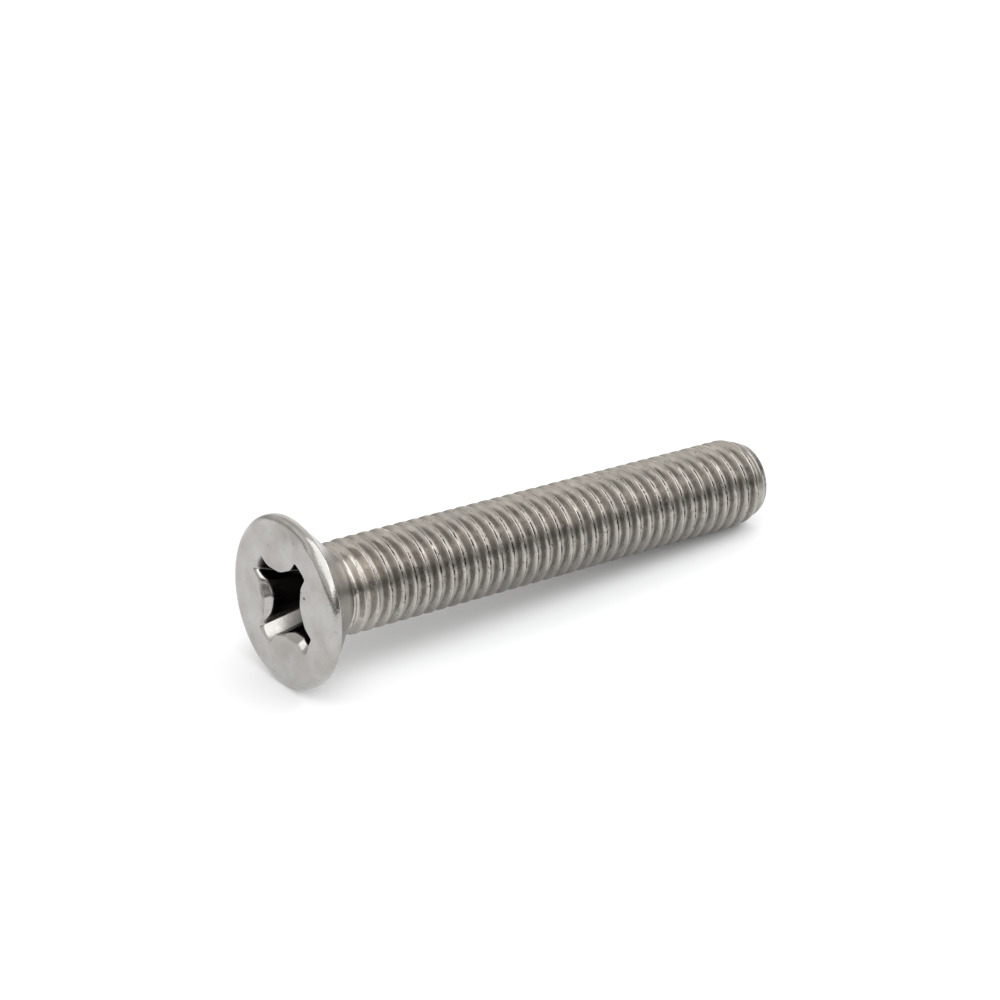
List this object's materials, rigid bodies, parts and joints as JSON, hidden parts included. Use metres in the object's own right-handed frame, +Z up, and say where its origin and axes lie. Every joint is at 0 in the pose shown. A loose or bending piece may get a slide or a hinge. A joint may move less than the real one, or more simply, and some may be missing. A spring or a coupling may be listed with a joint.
{
  "type": "countersunk machine screw",
  "caption": "Fully threaded countersunk machine screw with a cross recess, M8 x 50, in stainless steel, lying on a table",
  "frame": {"origin": "middle of the bounding box's underside: the point on the table under the middle of the lying screw", "axes": "+X along the screw on the table from its head to its point, +Z up. The screw's own axis dips 4.0 degrees toward the point, because it lies on the edge of its head and on its last full thread crest"},
  "size_m": [0.0502, 0.0144, 0.0144],
  "materials": {
    "stainless_steel": "cold formed and passivated, satin"
  },
  "bodies": {
    "root": {"machine_screw": "stainless_steel"}
  },
  "joints": []
}
